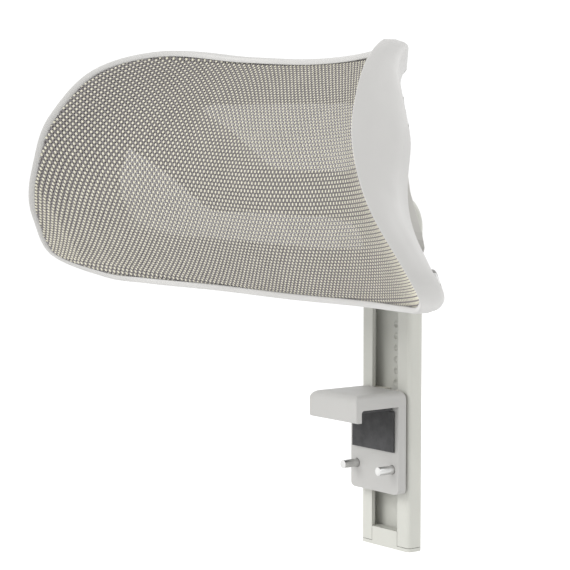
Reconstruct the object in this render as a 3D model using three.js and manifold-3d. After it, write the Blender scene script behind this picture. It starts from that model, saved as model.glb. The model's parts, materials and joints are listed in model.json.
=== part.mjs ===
// Chair headrest attachment: a wing-shaped mesh headrest on a tilting hinge, a mast that slides in
// clicks, and a hook bracket that sits on the top rail of a chair's back.
//
// Frame: millimetres. +X runs across the chair, +Z is up, and the headrest faces -Y. The origin is the
// middle of the saddle, where the hook rests on the rail. Left is -X.

import * as THREE from 'three';
import { mergeVertices } from 'three/addons/utils/BufferGeometryUtils.js';
import Module from 'manifold-3d';

const wasm = await Module();
wasm.setup();

// ---------------------------------------------------------------- driving dimensions

const GAP = 0.3; // clearance between neighbouring pieces

// Headrest face: a sheet that leans back a little and whose wings sweep forward.
const FACE = {
  middleY: -42,
  middleZ: 116,
  lean: 0.14,
  sweep: 22.9, // how far the face has come forward 100 mm from the middle
  sweepPower: 2.73, // how suddenly the wings turn forward
  sweepChange: 15.1, // how much more it sweeps near the top, and less near the bottom
  sweepHeight: 50,
};

// Half of the headrest's outline, from the top centre round to the bottom centre.
const OUTLINE = [[0, 194.3], [57.5, 196.8], [101, 200.4], [122.3, 191.3], [137.5, 164.8], [147.2, 138],
  [161.3, 104.5], [164.5, 81.5], [141.2, 69], [116, 66.2], [58, 64.6], [0, 63.8]];
const OUTLINE_STEPS = 96;

// The mesh is stretched tighter across than up and down, so its middle stands forward of its rim. It meets
// the rim again at these heights, which rise with the square of x, and at this half width, which shrinks
// upward in a slight curve.
const BELLY = { out: 28, low: 67.2, lowRise: 0.00019, high: 190.8, highRise: 0.0006, sideX: 164.5,
  sideZ: 81.5, taper: 0.378, curve: 0.00148, endZ: 193 };

// Shell: front lip, outer wall and rear flange round the headrest. Its depth grows in a cheek beside
// each wing, and its lip is narrower along the wings.
const SHELL = { depth: 16.5, wall: 3, lip: 3.4, flange: 15, flangeThick: 3 };
const CHEEK = { extra: 17, x: 140, z: 163, height: 28 };
const WING_LIP = { extra: -1, x: 156, z: 105, height: 40 };

// Depths behind the face, front to back, measured square to it.
const MESH_FRONT = 0.4;
const MESH_BACK = 1.4;
const SPLINE = { front: 1.9, back: 3.1, width: 2.4 };
const CARRIER = { front: 3.8, back: 6.8, ribThick: 3, ribBack: 13 };

const HINGE = { y: -14, z: 118, knuckle: 9, halfKnuckle: 10.8, pin: 3, bush: 4.6, counterbore: 6.2 };
const HUB_REAR_Y = -32;

const MAST = { half: 21, front: 20, rear: 30.5, lip: 2.3, floor: 2.4, side: 3.5, slotHalf: 11.2,
  bottom: -79, cavityTop: 88, corner: 3 };
const HEAD_RADIUS = 20.5; // how the mast turns forward over its top
const HEAD_TOP = 122;

const DETENT = { pitch: 6.65, z: 5.7, below: 4, above: 6, radius: 2.3, centreY: 26.9 };

const HOOK = { half: 21, front: -18, lipBack: -14, lipBottom: -5, top: 10, under: 1.8, rear: 18,
  legFront: 12.3, legBottom: -48, corner: 6.5, nose: 5 };
const BLOCK = { top: 9, bottom: -44 };
const BLOCK_SCREW_Z = [-12, -36];
const MOUNT_SCREW = { x: 15.5, z: -34, radius: 2.4, head: 4.4, reach: 2 };

// ---------------------------------------------------------------- solids

function toSolid(geometry) {
  geometry.deleteAttribute('normal');
  geometry.deleteAttribute('uv');
  const merged = mergeVertices(geometry, 1e-5);
  const mesh = new wasm.Mesh({
    numProp: 3,
    vertProperties: new Float32Array(merged.attributes.position.array),
    triVerts: new Uint32Array(merged.index.array),
  });
  return new wasm.Manifold(mesh);
}

function toGeometry(solid) {
  const { vertProperties, triVerts } = solid.getMesh();
  const geometry = new THREE.BufferGeometry();
  geometry.setAttribute('position', new THREE.BufferAttribute(vertProperties, 3));
  geometry.setIndex(new THREE.BufferAttribute(triVerts, 1));
  geometry.computeVertexNormals();
  return geometry;
}

const join = (solids) => solids.reduce((sum, solid) => sum.add(solid));
const cut = (body, tools) => tools.reduce((rest, tool) => rest.subtract(tool), body);

function box([x0, x1], [y0, y1], [z0, z1]) {
  const geometry = new THREE.BoxGeometry(x1 - x0, y1 - y0, z1 - z0);
  geometry.translate((x0 + x1) / 2, (y0 + y1) / 2, (z0 + z1) / 2);
  return toSolid(geometry);
}

function rodX(radius, [x0, x1], y, z, sides = 20) {
  const geometry = new THREE.CylinderGeometry(radius, radius, x1 - x0, sides);
  geometry.rotateZ(-Math.PI / 2).translate((x0 + x1) / 2, y, z);
  return toSolid(geometry);
}

function rodY(radius, x, [y0, y1], z, sides = 12, rearRadius = radius) {
  const geometry = new THREE.CylinderGeometry(rearRadius, radius, y1 - y0, sides);
  geometry.translate(x, (y0 + y1) / 2, z);
  return toSolid(geometry);
}

function extrude(shape, length, bevel, curveSegments) {
  return new THREE.ExtrudeGeometry(shape, {
    depth: length - 2 * bevel,
    bevelEnabled: bevel > 0,
    bevelThickness: bevel,
    bevelSize: bevel,
    bevelOffset: -bevel,
    bevelSegments: 2,
    curveSegments,
  }).translate(0, 0, bevel);
}

// A shape drawn in (y, z) and extruded along X.
function extrudeX(shape, [x0, x1], bevel = 0, curveSegments = 10) {
  const geometry = extrude(shape, x1 - x0, bevel, curveSegments);
  geometry.rotateX(Math.PI / 2).rotateZ(Math.PI / 2).translate(x0, 0, 0);
  return toSolid(geometry);
}

// A shape drawn in (x, z) and extruded along Y.
function extrudeY(shape, [y0, y1], curveSegments = 10) {
  const geometry = extrude(shape, y1 - y0, 0, curveSegments);
  geometry.rotateX(Math.PI / 2).translate(0, y1, 0);
  return toSolid(geometry);
}

// A shape drawn in (x, y) and extruded along Z.
function extrudeZ(shape, [z0, z1], curveSegments = 6) {
  return toSolid(extrude(shape, z1 - z0, 0, curveSegments).translate(0, 0, z0));
}

function polygon(points) {
  return new THREE.Shape(points.map(([a, b]) => new THREE.Vector2(a, b)));
}

// A closed outline with straight sides and rounded corners.
function roundedPolygon(points, radius) {
  const corners = points.map(([a, b]) => new THREE.Vector2(a, b));
  const shape = new THREE.Shape();
  corners.forEach((corner, i) => {
    const before = corners[(i + corners.length - 1) % corners.length];
    const after = corners[(i + 1) % corners.length];
    const entry = corner.clone().add(before.clone().sub(corner).setLength(radius));
    const exit = corner.clone().add(after.clone().sub(corner).setLength(radius));
    if (i === 0) shape.moveTo(entry.x, entry.y);
    else shape.lineTo(entry.x, entry.y);
    shape.quadraticCurveTo(corner.x, corner.y, exit.x, exit.y);
  });
  shape.closePath();
  return shape;
}

// Sections of equal length, joined in order round a closed loop.
function closedLoft(sections) {
  const ring = sections[0].length;
  const positions = sections.flat().flatMap((point) => point.toArray());
  const index = [];
  for (let s = 0; s < sections.length; s++) {
    const next = (s + 1) % sections.length;
    for (let k = 0; k < ring; k++) {
      const a = s * ring + k;
      const b = s * ring + ((k + 1) % ring);
      const c = next * ring + k;
      const d = next * ring + ((k + 1) % ring);
      index.push(a, c, b, b, c, d);
    }
  }
  const geometry = new THREE.BufferGeometry();
  geometry.setAttribute('position', new THREE.Float32BufferAttribute(positions, 3));
  geometry.setIndex(index);
  return toSolid(geometry);
}

// ---------------------------------------------------------------- headrest surface

function faceY(x, z) {
  const height = z - FACE.middleZ;
  const sweep = FACE.sweep + FACE.sweepChange * Math.tanh(height / FACE.sweepHeight);
  return FACE.middleY + FACE.lean * height - sweep * (Math.abs(x) / 100) ** FACE.sweepPower;
}

// How much longer a depth square to the face is along Y, where the face turns away.
const stretch = (x, z) => Math.hypot(1, faceY(x + 0.5, z) - faceY(x - 0.5, z));

// A smooth swelling of both wings round one height.
function swelling({ extra, x, z, height }, at) {
  return extra * Math.exp(-(((at.z - z) / height) ** 2)) * (Math.abs(at.x) / x) ** 4;
}

// How far the mesh stands in front of the headrest's face.
function belly(x, z) {
  const low = BELLY.low + BELLY.lowRise * x * x;
  const high = BELLY.high + BELLY.highRise * x * x;
  const up = THREE.MathUtils.clamp((z - low) / (high - low), 0, 1);
  const half = BELLY.sideX - BELLY.taper * (z - BELLY.sideZ)
    + BELLY.curve * (z - BELLY.sideZ) * (BELLY.endZ - z);
  return BELLY.out * 4 * up * (1 - up) * Math.max(0, 1 - (x / half) ** 2);
}

const outlineCurve = (() => {
  const right = OUTLINE.map(([x, z]) => new THREE.Vector3(x, 0, z));
  const left = OUTLINE.slice(1, -1).reverse().map(([x, z]) => new THREE.Vector3(-x, 0, z));
  const curve = new THREE.CatmullRomCurve3([...right, ...left], true, 'centripetal');
  curve.arcLengthDivisions = 800;
  return curve;
})();

// A point of the outline, and the step in x and z that leads 1 mm out of it along the face.
function outlineAt(t) {
  const { x, z } = outlineCurve.getPointAt(t % 1);
  const tangent = outlineCurve.getTangentAt(t % 1);
  const along = stretch(x, z);
  const length = Math.hypot(tangent.z, tangent.x * along);
  return { x, z, outX: -tangent.z / (along * length), outZ: tangent.x * along / length };
}

// The point that lies `inward` inside the outline and `back` behind the face.
function onFace(station, inward, back) {
  const x = station.x - inward * station.outX;
  const z = station.z - inward * station.outZ;
  return new THREE.Vector3(x, faceY(x, z) + back * stretch(x, z), z);
}

// The shell's depth square to the face, and the width of its lip.
const shellBack = (at) => (SHELL.depth + swelling(CHEEK, at)) / stretch(at.x, at.z);
const lipWidth = (at) => SHELL.lip + swelling(WING_LIP, at);

const stations = Array.from({ length: OUTLINE_STEPS }, (_, i) => outlineAt(i / OUTLINE_STEPS));

// A ring round the headrest: sectionAt gives pairs of [inward, back] for a station.
function ringAround(sectionAt) {
  return closedLoft(stations.map((station) => sectionAt(station)
    .map(([inward, back]) => onFace(station, inward, back))));
}

// The outline moved inward by what inwardAt gives for each station, as a shape in (x, z).
function insetShape(inwardAt) {
  return polygon(stations.map((s) => [s.x - inwardAt(s) * s.outX, s.z - inwardAt(s) * s.outZ]));
}

// A curved slab between two depths behind the face, wider than the headrest, or behind a surface that
// stands `proud` of the face.
function faceSlab(front, back, rows = 9, proud = () => 0) {
  const columns = 36;
  const [halfWidth, low, high] = [172, 55, 215];
  const positions = [];
  for (const depth of [front, back]) {
    for (let r = 0; r <= rows; r++) {
      for (let c = 0; c <= columns; c++) {
        const x = halfWidth * Math.sin(Math.PI * (c / columns - 0.5)); // closer together on the wings
        const z = low + (high - low) * r / rows;
        positions.push(x, faceY(x, z) - proud(x, z) + depth * stretch(x, z), z);
      }
    }
  }
  const width = columns + 1;
  const layer = width * (rows + 1);
  const index = [];
  const quad = (a, b, c, d) => index.push(a, b, c, a, c, d);
  for (let r = 0; r < rows; r++) {
    for (let c = 0; c < columns; c++) {
      const a = r * width + c;
      const around = [a, a + 1, a + 1 + width, a + width];
      if (c >= columns / 2) around.push(around.shift()); // mirrored diagonals
      const [p, q, u, v] = around;
      quad(p, q, u, v);
      quad(layer + p, layer + v, layer + u, layer + q);
    }
  }
  for (let c = 0; c < columns; c++) {
    const top = rows * width + c;
    quad(c, layer + c, layer + c + 1, c + 1);
    quad(top, top + 1, layer + top + 1, layer + top);
  }
  for (let r = 0; r < rows; r++) {
    const left = r * width;
    const right = left + columns;
    quad(left, left + width, layer + left + width, layer + left);
    quad(right, layer + right, layer + right + width, right + width);
  }
  const geometry = new THREE.BufferGeometry();
  geometry.setAttribute('position', new THREE.Float32BufferAttribute(positions, 3));
  geometry.setIndex(index);
  return toSolid(geometry);
}

const FACE_REACH = [-160, 30]; // a span of Y that holds the whole headrest

// ---------------------------------------------------------------- headrest pieces

// Screws that hold the shell to the carrier: places round the outline, mirrored.
const FRAME_SCREW = { places: [0.07, 0.185, 0.3, 0.43], inward: 9.5, radius: 1.5, boss: 4.5, head: 3.6 };
const frameScrews = FRAME_SCREW.places.flatMap((t) => [t, 1 - t]).map((t) => {
  const onFlange = (step, inward) => {
    const station = outlineAt(t + step);
    return onFace(station, FRAME_SCREW.inward + inward, shellBack(station));
  };
  const along = onFlange(0.004, 0).sub(onFlange(-0.004, 0));
  const across = onFlange(0, 1).sub(onFlange(0, -1));
  return { seat: onFlange(0, 0), depth: shellBack(outlineAt(t)), out: along.cross(across).normalize() };
});

// A rod along a frame screw, from and to given distances outside the face that the screw seats on.
function alongScrew({ seat, out }, radius, from, to, endRadius = radius) {
  const rod = new THREE.CylinderGeometry(endRadius, radius, to - from, 12);
  rod.applyQuaternion(new THREE.Quaternion().setFromUnitVectors(new THREE.Vector3(0, 1, 0), out));
  const middle = seat.clone().addScaledVector(out, (from + to) / 2);
  return toSolid(rod.translate(middle.x, middle.y, middle.z));
}

function shell() {
  const { wall, flange, flangeThick } = SHELL;
  const ring = ringAround((station) => {
    const depth = shellBack(station);
    const lip = lipWidth(station);
    const inside = depth - flangeThick;
    return [
      [0.8, 0], [0, 1.2], [0, depth * 0.4], [0.6, depth * 0.7], [2.2, depth - 1.6], [6, depth],
      [flange, depth], [flange, inside], [wall + 1.6, inside],
      [wall, Math.max(7, inside - 2)], [wall, 3.2], [lip, 2.4], [lip, 0.7], [lip - 0.7, 0],
    ];
  });
  const holes = frameScrews.map((screw) => alongScrew(screw, FRAME_SCREW.radius + GAP, -6, 6));
  const pockets = frameScrews.map((screw) => alongScrew(screw, FRAME_SCREW.head + 0.5, -1.8, 6));
  return cut(ring, [...holes, ...pockets]);
}

// The two windows that leave a ring, two diagonal arms and a cross band to the hub.
const UPPER_WINDOW = [[-94, 170], [-42, 133.5], [42, 133.5], [94, 170]];
const LOWER_WINDOW = [[0, 91.5], [112, 94.5], [131, 103], [131, 124], [121, 151], [76, 109.5],
  [-76, 109.5], [-121, 151], [-131, 124], [-131, 103], [-112, 94.5]];

// The same window made larger all round, as wide as a rib stands beside it.
function grown(shape, amount) {
  const points = shape.getPoints(4);
  if (THREE.ShapeUtils.isClockWise(points)) points.reverse();
  return polygon(points.map((point, i) => {
    const before = points[(i + points.length - 2) % points.length];
    const after = points[(i + 2) % points.length];
    const along = after.clone().sub(before).normalize();
    return [point.x + amount * along.y, point.y - amount * along.x];
  }));
}

function carrier() {
  const windows = [roundedPolygon(UPPER_WINDOW, 12), roundedPolygon(LOWER_WINDOW, 9)];
  const openings = windows.map((shape) => extrudeY(shape, FACE_REACH, 4));
  const plate = faceSlab(CARRIER.front, CARRIER.back)
    .intersect(extrudeY(insetShape(() => SHELL.wall + GAP), FACE_REACH));
  const ribs = faceSlab(CARRIER.front + 1, CARRIER.ribBack)
    .intersect(join(windows.map((shape) => extrudeY(grown(shape, CARRIER.ribThick), FACE_REACH))));
  const bosses = frameScrews.map((screw) => alongScrew(screw, FRAME_SCREW.boss,
    CARRIER.back - 1.5 - screw.depth, -SHELL.flangeThick - 2.6));
  const hub = box([-24, 24], [FACE.middleY + CARRIER.back - 2, HUB_REAR_Y], [109.7, 133.3]);
  const pilots = frameScrews.map((screw) => alongScrew(screw, FRAME_SCREW.radius + GAP,
    CARRIER.front + 0.8 - screw.depth, 5));
  const hubPilots = tiltScrewPlaces.map(([x, z]) => rodY(1.8, x, [HUB_REAR_Y - 7, HUB_REAR_Y + 1], z));
  const bracketSeat = box([-22.6, 22.6], [HUB_REAR_Y, HUB_REAR_Y + 10], [109, 134]);
  return cut(join([plate, ribs, ...bosses]), openings).add(hub)
    .subtract(join([bracketSeat, ...pilots, ...hubPilots]));
}

function meshPanel() {
  const edge = insetShape((station) => lipWidth(station) + GAP);
  return faceSlab(MESH_FRONT, MESH_BACK, 18, belly).intersect(extrudeY(edge, FACE_REACH));
}

function meshSpline() {
  return ringAround((station) => {
    const outer = Math.max(SHELL.wall, lipWidth(station)) + GAP;
    const inner = outer + SPLINE.width;
    return [[outer, SPLINE.front], [outer, SPLINE.back], [inner, SPLINE.back], [inner, SPLINE.front]];
  });
}

// A pan-head screw that points toward -Y from the face it seats on.
function screwFrom(seatY, x, z, { radius, head, headThick, length, sides = 12 }) {
  return join([
    rodY(radius, x, [seatY - length, seatY + 0.2], z, sides),
    rodY(head, x, [seatY, seatY + headThick], z, 16, head * 0.8),
  ]);
}

function frameScrew(screw) {
  return join([
    alongScrew(screw, FRAME_SCREW.radius, CARRIER.front + 1.3 - screw.depth, -1.3),
    alongScrew(screw, FRAME_SCREW.head, -1.5, -0.1, FRAME_SCREW.head * 0.8),
  ]);
}

const TILT_PLATE = { half: 22, low: 110.5, high: 132.5, front: HUB_REAR_Y + GAP, back: -28 };
const tiltScrewPlaces = [[-17, 115], [17, 115], [-17, 128], [17, 128]];

function tiltBracket() {
  const plate = box([-TILT_PLATE.half, TILT_PLATE.half], [TILT_PLATE.front, TILT_PLATE.back],
    [TILT_PLATE.low, TILT_PLATE.high]);
  const profile = new THREE.Shape();
  profile.moveTo(TILT_PLATE.back - 1, TILT_PLATE.low + 1);
  profile.lineTo(HINGE.y, HINGE.z - HINGE.knuckle);
  profile.absarc(HINGE.y, HINGE.z, HINGE.knuckle, -Math.PI / 2, Math.PI / 2, false);
  profile.lineTo(TILT_PLATE.back - 1, TILT_PLATE.high - 1);
  profile.closePath();
  const knuckle = extrudeX(profile, [-HINGE.halfKnuckle, HINGE.halfKnuckle], 0, 14);
  const bore = rodX(HINGE.pin + GAP, [-30, 30], HINGE.y, HINGE.z);
  const holes = tiltScrewPlaces.map(([x, z]) => rodY(1.8, x, [-35, -20], z));
  return cut(join([plate, knuckle]), [bore, ...holes]);
}

function tiltScrew([x, z]) {
  return screwFrom(TILT_PLATE.back + GAP, x, z, { radius: 1.5, head: 3.2, headThick: 2, length: 9 });
}

// ---------------------------------------------------------------- mast pieces

const mastDetents = Array.from({ length: DETENT.below + DETENT.above + 1 },
  (_, i) => DETENT.z + (i - DETENT.below) * DETENT.pitch);

function channelSection() {
  const { half, front, rear, lip, floor, side, slotHalf, corner } = MAST;
  const shape = new THREE.Shape();
  shape.moveTo(half, front + corner);
  shape.lineTo(half, rear - corner);
  shape.quadraticCurveTo(half, rear, half - corner, rear);
  shape.lineTo(corner - half, rear);
  shape.quadraticCurveTo(-half, rear, -half, rear - corner);
  shape.lineTo(-half, front + corner);
  shape.quadraticCurveTo(-half, front, corner - half, front);
  shape.lineTo(-slotHalf, front);
  shape.lineTo(-slotHalf, front + lip);
  shape.lineTo(side - half, front + lip);
  shape.lineTo(side - half, rear - floor);
  shape.lineTo(half - side, rear - floor);
  shape.lineTo(half - side, front + lip);
  shape.lineTo(slotHalf, front + lip);
  shape.lineTo(slotHalf, front);
  shape.lineTo(half - corner, front);
  shape.quadraticCurveTo(half, front, half, front + corner);
  return shape;
}

// Side view of the mast's head: up the back, forward over the top and round the hinge.
function headProfile() {
  const turnY = MAST.rear - HEAD_RADIUS;
  const turnZ = HEAD_TOP - HEAD_RADIUS;
  const eye = HINGE.knuckle + 0.4;
  const shape = new THREE.Shape();
  shape.moveTo(MAST.front, 84);
  shape.lineTo(MAST.rear, 84);
  shape.absarc(turnY, turnZ, HEAD_RADIUS, 0, Math.PI / 2, false);
  shape.lineTo(HINGE.y + 2, HINGE.z + eye - 0.2);
  shape.absarc(HINGE.y, HINGE.z, eye, Math.PI * 0.45, Math.PI * 1.42, false);
  shape.lineTo(8, 103);
  shape.quadraticCurveTo(MAST.front, 101, MAST.front, 84);
  return shape;
}

function mast() {
  const { half, cavityTop, bottom, front, rear } = MAST;
  const channel = extrudeZ(channelSection(), [bottom, cavityTop]);
  const head = extrudeX(headProfile(), [-half, half], 2.4, 12);
  const throat = box([-MAST.slotHalf, MAST.slotHalf], [front - 1, front + MAST.lip + 1], [80, cavityTop]);
  const cavity = box([MAST.side - half, half - MAST.side], [front + MAST.lip, rear - MAST.floor],
    [80, cavityTop]);
  const fork = box([-HINGE.halfKnuckle - 1.4, HINGE.halfKnuckle + 1.4], [-40, -2.4], [95, 140]);
  const bore = rodX(HINGE.bush + GAP, [-40, 40], HINGE.y, HINGE.z);
  const counterbores = [[-40, -16], [16, 40]].map((span) => rodX(HINGE.counterbore, span, HINGE.y, HINGE.z));
  const dimples = mastDetents.map((z) => {
    const ball = new THREE.SphereGeometry(DETENT.radius, 10, 6).rotateX(Math.PI / 2);
    return toSolid(ball.translate(0, DETENT.centreY, z));
  });
  const stopHole = rodY(1.8, 0, [rear - 4, rear + 1], STOP.screwZ);
  const stopSink = rodY(3.4, 0, [rear - 1.4, rear + 1], STOP.screwZ);
  return cut(join([channel, head]),
    [throat, cavity, fork, bore, ...counterbores, ...dimples, stopHole, stopSink]);
}

const STOP = { top: -70.9, screwZ: -75, plate: 2 };

function mastEndStop() {
  const { half, side, front, lip, floor, rear, slotHalf, bottom, corner } = MAST;
  const plug = box([side - half + GAP, half - side - GAP], [front + lip + GAP, rear - floor - GAP],
    [bottom - 1, STOP.top]);
  const tongue = box([GAP - slotHalf, slotHalf - GAP], [front, rear - floor - 1], [bottom - 1, STOP.top]);
  const plate = extrudeZ(roundedPolygon([[-half, front], [half, front], [half, rear], [-half, rear]],
    corner), [bottom - STOP.plate - GAP, bottom - GAP]);
  const pilot = rodY(1.8, 0, [front + 2.5, rear], STOP.screwZ);
  return join([plug, tongue, plate]).subtract(pilot);
}

function endStopScrew() {
  return screwFrom(MAST.rear - 1.1, 0, STOP.screwZ, { radius: 1.5, head: 3.1, headThick: 1, length: 6 });
}

// The pin's head fills one counterbore and its nut the other.
function hingePin() {
  return join([
    rodX(HINGE.pin, [-20, 16.6], HINGE.y, HINGE.z),
    rodX(5.4, [16 + GAP, 19.2], HINGE.y, HINGE.z, 6),
  ]);
}

function hingeNut() {
  return rodX(5.4, [-19.2, -16 - GAP], HINGE.y, HINGE.z, 6)
    .subtract(rodX(HINGE.pin + 0.2, [-25, -10], HINGE.y, HINGE.z));
}

function sleeve(outer, inner, span) {
  return rodX(outer, span, HINGE.y, HINGE.z).subtract(rodX(inner, [-60, 60], HINGE.y, HINGE.z));
}

const mirrored = (side, [near, far]) => (side > 0 ? [near, far] : [-far, -near]);

function hingeBush(side) {
  return sleeve(HINGE.bush, HINGE.pin + GAP, mirrored(side, [12.5, 15.7]));
}

function frictionWasher(side) {
  return sleeve(7.4, HINGE.pin + GAP, mirrored(side, [11.1, 11.9]));
}

function hingeCap(side) {
  const turn = (points) => new THREE.LatheGeometry(points.map(([r, x]) => new THREE.Vector2(r, x)), 20);
  const cap = turn([[0, 20.4], [5.8, 20.4], [5.8, 21.3], [7.6, 21.3], [7.6, 21.8], [6.6, 22.6], [0, 23]]);
  cap.rotateZ(-Math.PI / 2);
  if (side < 0) cap.rotateY(Math.PI);
  return toSolid(cap.translate(0, HINGE.y, HINGE.z));
}

// ---------------------------------------------------------------- bracket pieces

function hookProfile() {
  const { front, lipBack, lipBottom, top, under, rear, legFront, legBottom, nose } = HOOK;
  const shape = new THREE.Shape();
  shape.moveTo(front, lipBottom + 1.6);
  shape.quadraticCurveTo(front, lipBottom, front + 1.6, lipBottom);
  shape.lineTo(lipBack, lipBottom);
  shape.lineTo(lipBack, under - 2);
  shape.quadraticCurveTo(lipBack, under, lipBack + 2, under);
  shape.lineTo(legFront, under);
  shape.lineTo(legFront, legBottom);
  shape.lineTo(rear, legBottom);
  shape.lineTo(rear, top);
  shape.absarc(front + nose, top - nose, nose, Math.PI / 2, Math.PI, false);
  return shape;
}

function hookFrontView() {
  const { half, legBottom, top, corner } = HOOK;
  const shape = new THREE.Shape();
  shape.moveTo(-half, legBottom + 4);
  shape.quadraticCurveTo(-half, legBottom, 4 - half, legBottom);
  shape.lineTo(half - 4, legBottom);
  shape.quadraticCurveTo(half, legBottom, half, legBottom + 4);
  shape.lineTo(half, top - corner);
  shape.quadraticCurveTo(half, top, half - corner, top);
  shape.lineTo(corner - half, top);
  shape.quadraticCurveTo(-half, top, -half, top - corner);
  return shape;
}

const mountScrewPlaces = [-MOUNT_SCREW.x, MOUNT_SCREW.x];

function hookBracket() {
  const body = extrudeX(hookProfile(), [-HOOK.half, HOOK.half], 0.5, 6)
    .intersect(extrudeY(hookFrontView(), [HOOK.front - 1, HOOK.rear + 1], 8));
  const blockHoles = BLOCK_SCREW_Z.map((z) => rodY(2.1, 0, [HOOK.legFront + 1.2, HOOK.rear + 1], z));
  const mountHoles = mountScrewPlaces.flatMap((x) => [
    rodY(MOUNT_SCREW.radius + GAP, x, [HOOK.legFront - 1, HOOK.rear + 1], MOUNT_SCREW.z),
    rodY(MOUNT_SCREW.head + GAP, x, [HOOK.rear - 2.4, HOOK.rear + 1], MOUNT_SCREW.z),
  ]);
  return cut(body, [...blockHoles, ...mountHoles]);
}

function mountScrew(x) {
  const { radius, head, reach, z } = MOUNT_SCREW;
  const seat = HOOK.rear - 2.1;
  return screwFrom(seat, x, z, { radius, head, headThick: 2, length: seat - reach, sides: 32 });
}

// The T-shaped guide that the mast's channel slides on, with a slot for the click spring.
function slideBlock() {
  const { half, side, front, lip, rear, floor, slotHalf } = MAST;
  const neck = slotHalf - GAP;
  const wing = half - side - GAP;
  const [inside, back] = [front + lip + GAP, rear - floor - GAP];
  const section = polygon([[-neck, HOOK.rear + GAP], [neck, HOOK.rear + GAP], [neck, inside],
    [wing, inside], [wing, back], [-wing, back], [-wing, inside], [-neck, inside]]);
  const body = extrudeZ(section, [BLOCK.bottom, BLOCK.top]);
  const springSeat = box([-4.6, 4.6], [SPRING.front - GAP, back + 1], [-19, BLOCK.top + 1]);
  const springRoom = box([-4.6, 4.6], [SPRING.front - 1.6, back + 1], [-5, BLOCK.top + 1]);
  const holes = BLOCK_SCREW_Z.map((z) => rodY(2.1, 0, [HOOK.rear - 1, back + 1], z));
  const sinks = BLOCK_SCREW_Z.map((z) => rodY(4.3, 0, [25.4, back + 1], z));
  return cut(body, [springSeat, springRoom, ...holes, ...sinks]);
}

const SPRING = { front: 24.8, thick: 0.6, half: 4, low: -17, peg: 2, reach: 28.7 };

// A leaf with a round-nosed peg that drops into the mast's dimples.
function detentSpring() {
  const { front, thick, half, low, peg, reach } = SPRING;
  const leaf = box([-half, half], [front, front + thick], [low, 8.4]);
  const nose = new THREE.Path();
  nose.moveTo(0, front + 0.1);
  nose.lineTo(peg, front + 0.1);
  nose.lineTo(peg, reach - peg);
  nose.absarc(0, reach - peg, peg, 0, Math.PI / 2, false);
  const knob = new THREE.LatheGeometry(nose.getPoints(3), 10).translate(0, 0, DETENT.z);
  return join([leaf, toSolid(knob)]).subtract(rodY(2.1, 0, [20, 35], BLOCK_SCREW_Z[0]));
}

function blockScrew(z) {
  const seat = 25.7;
  const length = seat - HOOK.legFront - 1.6;
  return screwFrom(seat, 0, z, { radius: 1.8, head: 3.9, headThick: 1.9, length });
}

function railPadTop() {
  return box([-18, 18], [HOOK.lipBack + 2.2, HOOK.legFront - 1.8], [0, HOOK.under - GAP]);
}

function railPadRear() {
  return box([-18, 18], [HOOK.legFront - 1.4, HOOK.legFront - GAP], [-24, -1]);
}

// ---------------------------------------------------------------- assembly

const plastic = { color: 0xcfcdc8, roughness: 0.55, metalness: 0 };
const mastPlastic = { color: 0xc4c5bd, roughness: 0.5, metalness: 0 };
const nylon = { color: 0xdedbd2, roughness: 0.4, metalness: 0 };
const steel = { color: 0x9a9a9a, roughness: 0.35, metalness: 1 };
const rubber = { color: 0x3a3a3a, roughness: 0.85, metalness: 0 };
const weave = { color: 0xa8a196, roughness: 0.9, metalness: 0 };

function piece(name, solid, finish) {
  const mesh = new THREE.Mesh(toGeometry(solid), new THREE.MeshStandardMaterial(finish));
  mesh.name = name;
  return mesh;
}

// One numbered piece for each place.
const set = (name, places, make, finish) => places
  .map((place, i) => piece(`${name}_${i + 1}`, make(place), finish));

const headrest = new THREE.Group();
headrest.add(
  piece('headrest_shell', shell(), plastic),
  piece('mesh_carrier', carrier(), plastic),
  piece('mesh_panel', meshPanel(), weave),
  piece('mesh_spline', meshSpline(), nylon),
  ...set('frame_screw', frameScrews, frameScrew, steel),
  piece('tilt_bracket', tiltBracket(), plastic),
  ...set('tilt_bracket_screw', tiltScrewPlaces, tiltScrew, steel),
);

const mastGroup = new THREE.Group();
mastGroup.add(
  piece('mast', mast(), mastPlastic),
  piece('mast_end_stop', mastEndStop(), mastPlastic),
  piece('end_stop_screw', endStopScrew(), steel),
  piece('hinge_pin', hingePin(), steel),
  piece('hinge_nut', hingeNut(), steel),
);
for (const [side, label] of [[-1, 'left'], [1, 'right']]) {
  mastGroup.add(
    piece(`hinge_bush_${label}`, hingeBush(side), nylon),
    piece(`friction_washer_${label}`, frictionWasher(side), steel),
    piece(`hinge_cap_${label}`, hingeCap(side), plastic),
  );
}

const bracket = new THREE.Group();
bracket.add(
  piece('hook_bracket', hookBracket(), plastic),
  piece('slide_block', slideBlock(), nylon),
  ...set('slide_block_screw', BLOCK_SCREW_Z, blockScrew, steel),
  piece('detent_spring', detentSpring(), steel),
  piece('rail_pad_top', railPadTop(), rubber),
  piece('rail_pad_rear', railPadRear(), rubber),
  ...set('mounting_screw', mountScrewPlaces, mountScrew, steel),
);

const part = new THREE.Group();
part.add(bracket, mastGroup, headrest);

export default part;
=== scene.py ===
# Looks of the chair headrest attachment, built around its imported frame. Metres; the frame's axes:
# +X across the chair, the headrest faces -Y, +Z up.
import json
import math

import bmesh
import bpy
import numpy as np
from mathutils import Matrix, Vector


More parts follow.
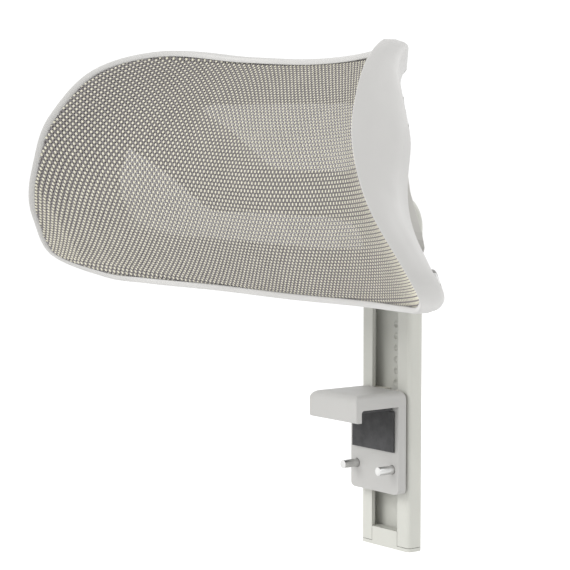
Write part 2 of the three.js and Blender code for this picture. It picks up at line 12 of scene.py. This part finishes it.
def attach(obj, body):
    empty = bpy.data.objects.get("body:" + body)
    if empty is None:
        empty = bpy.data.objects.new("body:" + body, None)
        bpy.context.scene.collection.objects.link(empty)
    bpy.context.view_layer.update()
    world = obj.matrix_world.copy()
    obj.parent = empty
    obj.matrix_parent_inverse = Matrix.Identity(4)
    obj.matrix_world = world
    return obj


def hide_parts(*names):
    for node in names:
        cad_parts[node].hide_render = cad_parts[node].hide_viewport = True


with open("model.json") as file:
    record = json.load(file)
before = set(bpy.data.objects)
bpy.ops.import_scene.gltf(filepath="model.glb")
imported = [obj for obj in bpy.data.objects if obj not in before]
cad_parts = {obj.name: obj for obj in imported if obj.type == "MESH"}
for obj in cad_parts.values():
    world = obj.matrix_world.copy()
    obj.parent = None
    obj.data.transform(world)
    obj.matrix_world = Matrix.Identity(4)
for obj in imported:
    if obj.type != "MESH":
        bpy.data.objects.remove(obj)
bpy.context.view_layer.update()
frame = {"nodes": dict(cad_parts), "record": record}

scene = bpy.context.scene
nodes = frame["nodes"]
MM = 0.001

# ---------------------------------------------------------------- camera and light

CAMERA_PLACE = Vector((0.8525, -0.70005, 0.15703))
CAMERA_AIM = Vector((-0.7937, 0.6041, -0.0793))
LENS_MM = 125.1
SENSOR_MM = 36.0
NEAREST = 0.01
FURTHEST = 60.0
WORLD_STRENGTH = 1.1


def add_object(name, data):
    obj = bpy.data.objects.new(name, data)
    scene.collection.objects.link(obj)
    return obj


def turned_along(direction):
    """The rotation that points a camera or a light along a direction."""
    return direction.to_track_quat("-Z", "Y").to_euler()


def make_camera():
    data = bpy.data.cameras.new("camera")
    data.lens = LENS_MM
    data.sensor_width = SENSOR_MM
    data.clip_start = NEAREST
    data.clip_end = FURTHEST
    camera = add_object("camera", data)
    camera.location = CAMERA_PLACE
    camera.rotation_euler = turned_along(CAMERA_AIM)
    scene.camera = camera


def area_light(name, place, target, size, watts):
    data = bpy.data.lights.new(name, "AREA")
    data.shape = "RECTANGLE"
    data.size, data.size_y = size
    data.energy = watts
    light = add_object(name, data)
    light.location = place
    light.rotation_euler = turned_along(Vector(target) - Vector(place))


def make_studio():
    world = bpy.data.worlds.new("studio")
    world.use_nodes = True
    backdrop = world.node_tree.nodes["Background"]
    backdrop.inputs["Color"].default_value = (1.0, 1.0, 1.0, 1.0)
    backdrop.inputs["Strength"].default_value = WORLD_STRENGTH
    scene.world = world
    scene.view_settings.view_transform = "Standard"


make_camera()
area_light("key_light", place=(-0.3, -1.65, 0.95), target=(0.0, -0.05, 0.1), size=(1.1, 0.9), watts=17.0)
area_light("fill_light", place=(1.5, -0.9, 0.9), target=(0.0, 0.0, 0.1), size=(1.2, 1.0), watts=3.0)
area_light("back_light", place=(0.3, 1.6, 0.9), target=(0.0, 0.0, 0.12), size=(1.4, 0.8), watts=8.0)
make_studio()

# ---------------------------------------------------------------- materials

# Noise that is this much finer along one axis makes lines across that axis.
LINES_ACROSS_X = (14.0, 1.0, 1.0)
LINES_ACROSS_Z = (1.0, 1.0, 14.0)


class Nodes:
    """Short calls for a material's node tree."""

    def __init__(self, name):
        self.material = bpy.data.materials.new(name)
        self.material.use_nodes = True
        self.tree = self.material.node_tree
        self.shader = self.tree.nodes["Principled BSDF"]
        self.place = self.add("ShaderNodeTexCoord").outputs["Object"]

    def add(self, kind, inputs=None, **settings):
        node = self.tree.nodes.new(kind)
        for key, value in settings.items():
            setattr(node, key, value)
        for key, value in (inputs or {}).items():
            self.put(node.inputs[key], value)
        return node

    def put(self, socket, value):
        if isinstance(value, bpy.types.NodeSocket):
            self.tree.links.new(value, socket)
        else:
            socket.default_value = value

    def set(self, **inputs):
        """Fills the shader's inputs. An underscore stands for the space in an input's name."""
        for key, value in inputs.items():
            self.put(self.shader.inputs[key.replace("_", " ")], value)

    def noise(self, scale, detail=3.0, roughness=0.5, place=None):
        inputs = {"Scale": scale, "Detail": detail, "Roughness": roughness, "Vector": place or self.place}
        return self.add("ShaderNodeTexNoise", inputs).outputs["Fac"]

    def cells(self, scale, feature):
        inputs = {"Scale": scale, "Vector": self.place}
        return self.add("ShaderNodeTexVoronoi", inputs, feature=feature).outputs["Distance"]

    def stretched(self, scale):
        inputs = {"Scale": scale, "Vector": self.place}
        return self.add("ShaderNodeMapping", inputs).outputs["Vector"]

    def ramp(self, fac, low=0.0, high=1.0, ends=(0.35, 0.65)):
        inputs = {"Value": fac, "From Min": ends[0], "From Max": ends[1], "To Min": low, "To Max": high}
        return self.add("ShaderNodeMapRange", inputs).outputs["Result"]

    def mix(self, fac, a, b):
        inputs = {"Factor": fac, "A": a, "B": b}
        return self.add("ShaderNodeMix", inputs, data_type="RGBA").outputs["Result"]

    def bump(self, height, distance, strength, under=None):
        inputs = {"Strength": strength, "Distance": distance, "Height": height}
        if under is not None:
            inputs["Normal"] = under
        return self.add("ShaderNodeBump", inputs).outputs["Normal"]


def rgba(colour, gain=1.0):
    return (*[min(1.0, c * gain) for c in colour], 1.0)


def moulded_plastic(name, colour, roughness, grain=0.00045, grain_depth=0.00001, flow=0.04):
    """Satin moulded plastic: etched grain on slight waves, flow clouds, specks and rubbed patches."""
    n = Nodes(name)
    clouds = n.ramp(n.noise(scale=18.0, detail=4.0))
    tint = n.mix(clouds, rgba(colour, gain=1.0 - flow), rgba(colour, gain=1.0 + flow))
    specks = n.ramp(n.noise(scale=2600.0, detail=2.0), high=0.35, ends=(0.62, 0.75))
    rubbed = n.noise(scale=42.0, detail=5.0, roughness=0.6)
    waves = n.bump(n.noise(scale=70.0, detail=2.0), distance=0.00012, strength=0.35)
    etched = n.cells(scale=1.0 / grain, feature="SMOOTH_F1")
    n.set(
        Base_Color=n.mix(specks, tint, rgba(colour, gain=0.93)),
        Roughness=n.ramp(rubbed, low=roughness - 0.07, high=roughness + 0.06),
        Normal=n.bump(etched, distance=grain_depth, strength=0.6, under=waves),
    )
    return n.material


def plated_steel(name, colour, roughness, drawn):
    """Plated steel with fine drawn lines and dull blotches."""
    n = Nodes(name)
    lines = n.noise(scale=900.0, detail=3.0, roughness=0.6, place=n.stretched(drawn))
    blotches = n.ramp(n.noise(scale=120.0, detail=4.0))
    n.set(
        Base_Color=n.mix(blotches, rgba(colour, gain=0.86), rgba(colour, gain=1.1)),
        Metallic=1.0,
        Roughness=n.ramp(lines, low=roughness - 0.08, high=roughness + 0.12, ends=(0.3, 0.7)),
        Normal=n.bump(lines, distance=0.00002, strength=0.5),
    )
    return n.material


def rubber(name, colour):
    """Matt rubber with a fine pebbled skin and a dusty bloom."""
    n = Nodes(name)
    pebbles = n.cells(scale=1400.0, feature="F1")
    bloom = n.ramp(n.noise(scale=60.0, detail=5.0, roughness=0.65), high=0.8, ends=(0.4, 0.75))
    n.set(
        Base_Color=n.mix(bloom, rgba(colour), rgba(colour, gain=1.9)),
        Roughness=n.ramp(n.noise(scale=200.0), low=0.74, high=0.92),
        Normal=n.bump(pebbles, distance=0.00006, strength=0.7),
    )
    return n.material


def yarn(name, dark, light, sheen):
    """Spun yarn: a fine mottle of fibres with a soft sheen, dyed a little unevenly over the mesh."""
    n = Nodes(name)
    fibres = n.noise(scale=3600.0, detail=3.0, roughness=0.6)
    spun = n.mix(n.ramp(fibres, ends=(0.3, 0.7)), rgba(dark), rgba(light))
    uneven_dye = n.ramp(n.noise(scale=55.0), high=0.25)
    n.set(
        Base_Color=n.mix(uneven_dye, spun, rgba(dark)),
        Roughness=n.ramp(fibres, low=0.62, high=0.86),
        Normal=n.bump(fibres, distance=0.00008, strength=0.6),
        Sheen_Weight=sheen,
        Sheen_Roughness=0.45,
    )
    return n.material


SHELL_COLOUR = (0.432, 0.427, 0.416)
CARRIER_COLOUR = (0.42, 0.412, 0.39)
MAST_COLOUR = (0.440, 0.441, 0.405)
# The hook bracket is the shell's plastic, darkened as painted shade.
SHADED_BRACKET_COLOUR = (0.362, 0.358, 0.346)
NYLON_COLOUR = (0.66, 0.64, 0.57)
STEEL_COLOUR = (0.62, 0.62, 0.61)
SPRING_COLOUR = (0.30, 0.32, 0.36)
RUBBER_COLOUR = (0.035, 0.035, 0.036)

slot_finishes = {
    "shell_plastic": moulded_plastic("shell_plastic", SHELL_COLOUR, roughness=0.47),
    "carrier_plastic": moulded_plastic("carrier_plastic", CARRIER_COLOUR, roughness=0.58,
                                       grain=0.0007, grain_depth=0.00002),
    "mast_plastic": moulded_plastic("mast_plastic", MAST_COLOUR, roughness=0.44, grain=0.0004),
    "nylon": moulded_plastic("nylon", NYLON_COLOUR, roughness=0.36, grain=0.0003, grain_depth=0.000006),
    "steel": plated_steel("steel", STEEL_COLOUR, roughness=0.32, drawn=LINES_ACROSS_Z),
    "spring_steel": plated_steel("spring_steel", SPRING_COLOUR, roughness=0.30, drawn=LINES_ACROSS_X),
    "pad_rubber": rubber("pad_rubber", RUBBER_COLOUR),
}
# The hook bracket takes a darker copy of the shell plastic, as painted shade.
shaded_copy_finishes = {"hook_bracket": moulded_plastic("shaded_bracket_plastic", SHADED_BRACKET_COLOUR, roughness=0.47)}
light_yarn = yarn("light_yarn", dark=(0.51, 0.49, 0.385), light=(0.67, 0.645, 0.525), sheen=0.2)
# The dark yarn is the level yarns' own colour, and it also serves as painted shade on the light yarns'
# necks, ramps and ends.
dark_yarn_and_shade = yarn("dark_yarn_and_shade", dark=(0.125, 0.114, 0.116), light=(0.25, 0.232, 0.232), sheen=0.12)


def finish_cad_nodes():
    """Gives each CAD node its finish. The mesh panel has none, because the woven mesh replaces it."""
    for piece in frame["record"]["subparts"]:
        name = piece["node"]
        finish = shaded_copy_finishes.get(name) or slot_finishes.get(piece["material_slot"])
        if finish is not None:
            nodes[name].data.materials.clear()
            nodes[name].data.materials.append(finish)


finish_cad_nodes()

# ---------------------------------------------------------------- headrest surface, as in the CAD

# The face leans back as it rises and sweeps forward towards the wings, more so near the top.
FACE = {"middle_y": -0.042, "middle_z": 0.116, "lean": 0.14, "sweep": 0.0229, "power": 2.73,
        "sweep_change": 0.0151, "sweep_height": 0.05}
SWEEP_UNIT = 0.1
# The right half of the shell's outline as (x, z), from the middle of the top round to the bottom.
OUTLINE_MM = ((0, 194.3), (57.5, 196.8), (101, 200.4), (122.3, 191.3), (137.5, 164.8), (147.2, 138),
              (161.3, 104.5), (164.5, 81.5), (141.2, 69), (116, 66.2), (58, 64.6), (0, 63.8))
SHELL = {"depth": 0.0165, "wall": 0.003, "lip": 0.0034, "flange": 0.015, "flange_thick": 0.003}
# The shell is deeper at its upper corners, and its lip is narrower at the wings.
CHEEK = {"extra": 0.017, "x": 0.140, "z": 0.163, "height": 0.028}
WING_LIP = {"extra": -0.001, "x": 0.156, "z": 0.105, "height": 0.040}
# The mesh bulges forward between a low and a high edge that rise with x. The bulge narrows with height.
BELLY = {"out": 0.028, "low": 0.0672, "low_rise": 0.19, "high": 0.1908, "high_rise": 0.6, "side_x": 0.1645,
         "side_z": 0.0815, "taper": 0.378, "curve": 1.48, "end_z": 0.193}
STATIONS = 288
SPAN_STEPS = 60
STRETCH_STEP = 0.0005


def face_y(x, z):
    height = z - FACE["middle_z"]
    sweep = FACE["sweep"] + FACE["sweep_change"] * np.tanh(height / FACE["sweep_height"])
    return FACE["middle_y"] + FACE["lean"] * height - sweep * (np.abs(x) / SWEEP_UNIT) ** FACE["power"]


def stretch(x, z):
    """How many times longer a step across the curved face is than the same step in x."""
    rise = face_y(x + STRETCH_STEP, z) - face_y(x - STRETCH_STEP, z)
    return np.hypot(1.0, rise / (2 * STRETCH_STEP))


def belly(x, z):
    """How far the stretched mesh stands in front of the face."""
    low = BELLY["low"] + BELLY["low_rise"] * x**2
    high = BELLY["high"] + BELLY["high_rise"] * x**2
    up = np.clip((z - low) / (high - low), 0.0, 1.0)
    half = (BELLY["side_x"] - BELLY["taper"] * (z - BELLY["side_z"])
            + BELLY["curve"] * (z - BELLY["side_z"]) * (BELLY["end_z"] - z))
    return BELLY["out"] * 4 * up * (1 - up) * np.maximum(0.0, 1 - (x / half) ** 2)


def along_curve(points):
    """How far along a curve each of its points lies."""
    return np.concatenate([[0.0], np.cumsum(np.linalg.norm(np.diff(points, axis=0), axis=1))])


def centripetal_loop(points, steps):
    """A closed centripetal Catmull-Rom curve, sampled at equal lengths."""
    count = len(points)
    dense = []
    for i in range(count):
        p0, p1, p2, p3 = (points[(i + k) % count] for k in (-1, 0, 1, 2))
        d0, d1, d2 = (math.sqrt(np.linalg.norm(b - a)) for a, b in ((p0, p1), (p1, p2), (p2, p3)))
        start = ((p1 - p0) / d0 - (p2 - p0) / (d0 + d1) + (p2 - p1) / d1) * d1
        end = ((p2 - p1) / d1 - (p3 - p1) / (d1 + d2) + (p3 - p2) / d2) * d1
        for t in np.arange(SPAN_STEPS) / SPAN_STEPS:
            dense.append(p1 + start * t + (3 * (p2 - p1) - 2 * start - end) * t**2
                         + (2 * (p1 - p2) + start + end) * t**3)
    dense = np.array(dense + dense[:1])
    along = along_curve(dense)
    at = np.arange(steps) / steps * along[-1]
    return np.stack([np.interp(at, along, dense[:, k]) for k in (0, 1)], axis=1)


def outline_stations(steps):
    """Places (x, z) round the shell's outline, and the step in x and z for one metre outward at each."""
    right = np.array(OUTLINE_MM, float) * MM
    left = right[1:-1][::-1] * [-1, 1]
    places = centripetal_loop(np.vstack([right, left]), steps)
    tangent = np.roll(places, -1, axis=0) - np.roll(places, 1, axis=0)
    across = stretch(places[:, 0], places[:, 1])
    length = np.hypot(tangent[:, 1], tangent[:, 0] * across)
    out = np.stack([-tangent[:, 1] / (across * length), tangent[:, 0] * across / length], axis=1)
    return places, out


loop, outward = outline_stations(STATIONS)


def on_face(inward, back):
    """The points `inward` inside each station of the outline, `back` behind the face."""
    x, z = (loop - outward * np.broadcast_to(inward, len(loop))[:, None]).T
    return np.stack([x, face_y(x, z) + back * stretch(x, z), z], axis=1)


def swelling(spec):
    """A size at each station that grows towards the wings, around one height."""
    x, z = loop.T
    return spec["extra"] * np.exp(-(((z - spec["z"]) / spec["height"]) ** 2)) * (np.abs(x) / spec["x"]) ** 4


shell_depth = (SHELL["depth"] + swelling(CHEEK)) / stretch(loop[:, 0], loop[:, 1])
lip_width = SHELL["lip"] + swelling(WING_LIP)


def mesh_object(name, points, faces, finishes):
    """A smooth-shaded mesh with these finishes."""
    data = bpy.data.meshes.new(name)
    data.from_pydata(points.tolist(), [], faces)
    for finish in finishes:
        data.materials.append(finish)
    data.polygons.foreach_set("use_smooth", [True] * len(data.polygons))
    data.update()
    return add_object(name, data)


# ---------------------------------------------------------------- shell: a smooth ring

# The section of the ring: a round nose, a flank, a curve into the back, a flange, a fillet and the lip.
NOSE = 0.0011
FLANK_SHARES = (0.3, 0.48)
BACK_CURVE = {"start": 0.0006, "inward": 0.0035, "deep": 0.0055}
FLANGE_CORNER = {"back": 0.0006, "front": 0.0005}
FILLET = {"inward": 0.0018, "knee_inward": 0.0005, "knee_deep": 0.0006, "deep": 0.002, "least": 0.007}
LIP = {"root": 0.0032, "back": 0.0024, "corner": 0.0008, "knee_inward": 0.0003, "knee_deep": 0.0002}
NOSE_TURNS = np.radians([0, 22.5, 45, 67.5, 90])
BACK_TURNS = np.radians([12, 32, 52, 72, 90])
SHARP_EDGE = math.radians(40)


def ring_faces(stations, corners):
    faces = []
    for s in range(stations):
        after = (s + 1) % stations
        for c in range(corners):
            on = (c + 1) % corners
            faces.append((s * corners + c, s * corners + on, after * corners + on, after * corners + c))
    return faces


def shell_section(depth, lip):
    """The ring's section as (inward, back) pairs, from the outer front edge round to the lip."""
    wall, flange = SHELL["wall"], SHELL["flange"]
    inside = depth - SHELL["flange_thick"]
    nose = [(NOSE * (1 - math.sin(a)), NOSE * (1 - math.cos(a))) for a in NOSE_TURNS]
    flank = [(0.0, depth * share) for share in FLANK_SHARES]
    back = [(BACK_CURVE["inward"] * (1 - math.cos(a)) + BACK_CURVE["start"],
             depth - BACK_CURVE["deep"] + BACK_CURVE["deep"] * math.sin(a)) for a in BACK_TURNS]
    flange_edge = [
        (flange - FLANGE_CORNER["back"], depth),
        (flange, depth - FLANGE_CORNER["back"]),
        (flange, inside + FLANGE_CORNER["front"]),
        (flange - FLANGE_CORNER["front"], inside),
    ]
    fillet = [
        (wall + FILLET["inward"], inside),
        (wall + FILLET["knee_inward"], inside - FILLET["knee_deep"]),
        (wall, max(FILLET["least"], inside - FILLET["deep"])),
    ]
    lip_edge = [
        (wall, LIP["root"]),
        (lip, LIP["back"]),
        (lip, LIP["corner"]),
        (lip - LIP["knee_inward"], LIP["knee_deep"]),
        (lip - LIP["corner"], 0.0),
    ]
    return [*nose, *flank, *back, *flange_edge, *fillet, *lip_edge]


def make_shell():
    sections = np.array([shell_section(depth, lip) for depth, lip in zip(shell_depth, lip_width)])
    corners = sections.shape[1]
    rings = [on_face(sections[:, c, 0], sections[:, c, 1]) for c in range(corners)]
    points = np.stack(rings, axis=1).reshape(-1, 3)
    faces = ring_faces(STATIONS, corners)
    return mesh_object("headrest_rim", points, faces, [slot_finishes["shell_plastic"]])


# The screws' places are shares of the way round the outline, mirrored on the left.
FRAME_SCREWS = {"places": (0.07, 0.185, 0.3, 0.43), "inward": 0.0095, "hole": 0.0018, "hole_deep": 0.006,
                "hole_clear": 0.004, "pocket": 0.0041, "pocket_deep": 0.0018, "pocket_clear": 0.006}
SEAT_STEP = 0.001
CUTTER_SIDES = 40


def screw_seats():
    """The middle and direction of each frame screw's seat on the flange."""
    outer, middle, inner = (on_face(FRAME_SCREWS["inward"] + step, shell_depth)
                            for step in (-SEAT_STEP, 0.0, SEAT_STEP))
    for place in FRAME_SCREWS["places"]:
        for share in (place, 1 - place):
            at = share * STATIONS
            i = int(at)
            before, here, after, beyond = ((i + k) % STATIONS for k in (-1, 0, 1, 2))
            seat = middle[here] + (middle[after] - middle[here]) * (at - i)
            out = np.cross(middle[beyond] - middle[before], inner[here] - outer[here])
            yield Vector(seat), Vector(out / np.linalg.norm(out))


def make_screw_cutters():
    """A round cutter for each frame screw's hole, and a wider one for the pocket of its head."""
    cutters = (
        (FRAME_SCREWS["hole"], -FRAME_SCREWS["hole_deep"], FRAME_SCREWS["hole_clear"]),
        (FRAME_SCREWS["pocket"], -FRAME_SCREWS["pocket_deep"], FRAME_SCREWS["pocket_clear"]),
    )
    shape = bmesh.new()
    for seat, out in screw_seats():
        turn = out.to_track_quat("Z", "Y").to_matrix().to_4x4()
        for radius, low, high in cutters:
            place = Matrix.Translation(seat + out * (low + high) / 2) @ turn
            bmesh.ops.create_cone(shape, cap_ends=True, segments=CUTTER_SIDES, radius1=radius,
                                  radius2=radius, depth=high - low, matrix=place)
    data = bpy.data.meshes.new("screw_pockets")
    shape.to_mesh(data)
    shape.free()
    return add_object("screw_pockets", data)


def cut_screw_pockets(obj):
    cutters = make_screw_cutters()
    bore = obj.modifiers.new("pockets", "BOOLEAN")
    bore.operation = "DIFFERENCE"
    bore.solver = "EXACT"
    bore.use_self = True
    bore.object = cutters
    bpy.context.view_layer.update()
    cut = bpy.data.meshes.new_from_object(obj.evaluated_get(bpy.context.evaluated_depsgraph_get()))
    obj.modifiers.clear()
    obj.data = cut
    bpy.data.objects.remove(cutters)


rim = make_shell()
cut_screw_pockets(rim)
rim.data.set_sharp_from_angle(angle=SHARP_EDGE)
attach(rim, "headrest")
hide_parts("headrest_shell")

# ---------------------------------------------------------------- woven mesh

WEAVE = {"column": 0.00158, "row": 0.00213, "smile": 0.5, "front": 0.0004, "back": 0.0014, "edge": 0.0001}
MID_DEPTH = (WEAVE["front"] + WEAVE["back"]) / 2
# The columns are evenly spaced along the mesh at this height, and the rows lie between these heights.
COLUMN_HEIGHT = 0.130
ROW_HEIGHTS = (0.050, 0.212)
ROW_CROWDING = 1.6
KNOT = {"reach": 0.33, "width": 0.00166, "thick": 0.00028}
NECK = {"width": 0.00070, "thick": 0.00022}
WARP = {"swing": 0.00015, "fewest_rows": 3, "fewest_points": 3, "end_gap": 0.0002}
WEFT = {"width": 0.00088, "thick": 0.00026, "shortest": 0.004, "end_gap": 0.0008}
# The share of a yarn's thickness that lies behind its centre line.
YARN_BACK = 0.4
SLOPE_STEP = 0.0002
CURVE_STEPS = 4000
ROW_PROBES = 3000
# The two finishes of the woven mesh, by their place in its list. The dark one is the level yarns' own
# colour; on the light upright yarns it is painted shade, laid on their necks, on the ramps above their
# knots and on their closed ends.
LIGHT = 0
DARK_YARN_AND_SHADE = 1


def arc_positions(place, low, high, pitch):
    """Values from low to high that lie `pitch` apart along the curve place(value), from its middle out."""
    at = np.linspace(low, high, CURVE_STEPS)
    along = along_curve(place(at))
    middle = along[-1] / 2
    count = int(middle / pitch)
    return np.interp(middle + pitch * np.arange(-count, count + 1), along, at)


def woven_y(x, z, depth):
    return face_y(x, z) - belly(x, z) + depth * stretch(x, z)


def row_at(z):
    """The curve of the mesh across the headrest at a height, as a function of x."""
    return lambda x: np.stack([x, woven_y(x, z, MID_DEPTH)], axis=1)


def row_spread(z):
    """Equal steps along this curve give the rows' heights: they crowd toward the top and bottom rims."""
    return np.stack([face_y(0.0, z) - ROW_CROWDING * belly(0.0, z), z], axis=1)


def smile(x):
    """How much higher a row runs at x than in the middle."""
    return WEAVE["smile"] * x**2


# The loop starts at the middle of the top, and its first half runs down the right side.
edge_loop = loop - outward * (lip_width + WEAVE["edge"])[:, None]
widest = int(np.argmax(edge_loop[:, 0]))
bottom = STATIONS // 2
upper_edge = edge_loop[: widest + 1]
lower_edge = edge_loop[widest: bottom + 1][::-1]


def edge_heights(x):
    """The mesh's lowest and highest point at each x."""
    x = np.abs(x)
    return (np.interp(x, lower_edge[:, 0], lower_edge[:, 1]),
            np.interp(x, upper_edge[:, 0], upper_edge[:, 1]))


REACH_X = float(edge_loop[widest, 0])
columns = arc_positions(row_at(COLUMN_HEIGHT), -REACH_X, REACH_X, WEAVE["column"])
rows = arc_positions(row_spread, *ROW_HEIGHTS, WEAVE["row"])


def yarn_tube(centres, sides, fronts, widths, thicks):
    """Points of a three-sided yarn: two edges behind and a ridge in front, at each centre."""
    half = sides * (widths / 2)[:, None]
    back = centres - fronts * (thicks * YARN_BACK)[:, None]
    ridge = centres + fronts * (thicks * (1 - YARN_BACK))[:, None]
    return np.stack([back - half, back + half, ridge], axis=1)


def unit(vectors):
    return vectors / np.linalg.norm(vectors, axis=1)[:, None]


def face_frame(x, z):
    """Unit steps across, up and out of the woven surface."""
    run = np.full_like(x, 2 * SLOPE_STEP)
    none = np.zeros_like(x)
    rise_across = woven_y(x + SLOPE_STEP, z, 0.0) - woven_y(x - SLOPE_STEP, z, 0.0)
    rise_up = woven_y(x, z + SLOPE_STEP, 0.0) - woven_y(x, z - SLOPE_STEP, 0.0)
    across = unit(np.stack([run, rise_across, none], axis=1))
    up = unit(np.stack([none, rise_up, run], axis=1))
    return across, up, unit(np.cross(across, up))


class Weave:
    """The yarns made so far: their points, their faces and each face's finish."""

    def __init__(self):
        self.points, self.faces, self.finishes, self.count = [], [], [], 0

    def add(self, sections, segment_finish):
        """Adds a yarn of three-point sections, closed at both ends."""
        base, steps = self.count, len(sections)
        self.points.append(sections.reshape(-1, 3))
        self.count += 3 * steps
        for k in range(steps - 1):
            a = base + 3 * k
            for c in range(3):
                on = (c + 1) % 3
                self.faces.append((a + c, a + on, a + 3 + on, a + 3 + c))
                self.finishes.append(segment_finish[k])
        last = base + 3 * (steps - 1)
        self.faces.append((base + 2, base + 1, base))
        self.faces.append((last, last + 1, last + 2))
        # Both ends take the dark finish: the level yarns' own colour, and painted shade on the light
        # upright yarns.
        self.finishes.extend([DARK_YARN_AND_SHADE, DARK_YARN_AND_SHADE])


def warp_stops(i, x):
    """The heights, lifts, widths and thicknesses of column i, and the finish above each stop."""
    stops = []
    for j, row in enumerate(rows):
        here = row + smile(x)
        spacing = rows[min(j + 1, len(rows) - 1)] - rows[max(j - 1, 0)]
        spacing /= 2 if 0 < j < len(rows) - 1 else 1
        if (i + j) % 2:
            # The neck behind this row takes the dark finish as painted shade.
            stops.append((here, -WARP["swing"], NECK["width"], NECK["thick"], DARK_YARN_AND_SHADE))
            continue
        # Each knot is light from its lower stop to its upper one; above that, the dark finish on the ramp
        # is painted shade.
        for side, finish in ((-1, LIGHT), (1, DARK_YARN_AND_SHADE)):
            height = here + side * KNOT["reach"] * spacing
            stops.append((height, WARP["swing"], KNOT["width"], KNOT["thick"], finish))
    return (np.array(values) for values in zip(*stops))


def warp_yarn(weave, i, x):
    """Column i: a light knot in front of every other row, and a neck behind the rows between that is
    painted dark as shade.
    """
    low, high = (float(edge[0]) for edge in edge_heights(np.array([x])))
    if high - low < WARP["fewest_rows"] * WEAVE["row"]:
        return
    heights, lifts, widths, thicks, finish = warp_stops(i, x)
    inside = np.flatnonzero((heights > low + WARP["end_gap"]) & (heights < high - WARP["end_gap"]))
    if len(inside) < WARP["fewest_points"]:
        return
    stops = np.array([max(inside[0] - 1, 0), *inside, min(inside[-1] + 1, len(heights) - 1)])
    z = np.concatenate([[low], heights[inside], [high]])
    xs = np.full_like(z, x)
    across, _, front = face_frame(xs, z)
    centres = np.stack([xs, woven_y(xs, z, MID_DEPTH), z], axis=1) + front * lifts[stops][:, None]
    weave.add(yarn_tube(centres, across, front, widths[stops], thicks[stops]), finish[stops[:-1]])


def weft_yarn(weave, row):
    """A dark yarn that runs across from rim to rim, between the knots."""
    probe = np.linspace(-REACH_X, REACH_X, ROW_PROBES)
    low, high = edge_heights(probe)
    height = row + smile(probe)
    inside = (height > low) & (height < high)
    bounds = np.flatnonzero(np.diff(np.concatenate([[0], inside.astype(int), [0]])))
    between = columns[::2]
    for start, stop in zip(bounds[::2], bounds[1::2]):
        a, b = probe[start], probe[stop - 1]
        if b - a < WEFT["shortest"]:
            continue
        clear = (between > a + WEFT["end_gap"]) & (between < b - WEFT["end_gap"])
        x = np.concatenate([[a], between[clear], [b]])
        z = row + smile(x)
        _, up, front = face_frame(x, z)
        centres = np.stack([x, woven_y(x, z, MID_DEPTH), z], axis=1)
        widths = np.full_like(x, WEFT["width"])
        thicks = np.full_like(x, WEFT["thick"])
        sections = yarn_tube(centres, up, front, widths, thicks)
        weave.add(sections[:, ::-1], [DARK_YARN_AND_SHADE] * (len(x) - 1))


def make_weave():
    weave = Weave()
    for i, x in enumerate(columns):
        warp_yarn(weave, i, x)
    for row in rows:
        weft_yarn(weave, row)
    obj = mesh_object("woven_mesh", np.concatenate(weave.points), weave.faces, [light_yarn, dark_yarn_and_shade])
    obj.data.polygons.foreach_set("material_index", weave.finishes)
    obj.data.update()
    return obj


woven = make_weave()
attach(woven, "headrest")
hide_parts("mesh_panel")

# ---------------------------------------------------------------- size of the mesh, along its surface

WIDTH_STEPS = 1000


def woven_width():
    """The length of the widest row."""
    row = row_at(float(edge_loop[widest, 1]))
    return float(along_curve(row(np.linspace(-REACH_X, REACH_X, WIDTH_STEPS)))[-1])


woven_width()

# ---------------------------------------------------------------- floor

# It lies just below the mast at the bottom of its travel, and reaches so far that its edge is lost.
FLOOR = {"z": -0.1225, "radius": 40.0, "sides": 128}
PAPER = {"dark": (0.93, 0.93, 0.93), "light": (0.96, 0.96, 0.96), "roughness": 0.9}


def make_floor():
    shape = bmesh.new()
    bmesh.ops.create_circle(shape, cap_ends=True, segments=FLOOR["sides"], radius=FLOOR["radius"])
    data = bpy.data.meshes.new("floor")
    shape.to_mesh(data)
    shape.free()
    floor = add_object("floor", data)
    floor.location.z = FLOOR["z"]
    n = Nodes("floor_paper")
    clouds = n.ramp(n.noise(scale=3.0))
    n.set(
        Base_Color=n.mix(clouds, rgba(PAPER["dark"]), rgba(PAPER["light"])),
        Roughness=PAPER["roughness"],
    )
    data.materials.append(n.material)


make_floor()
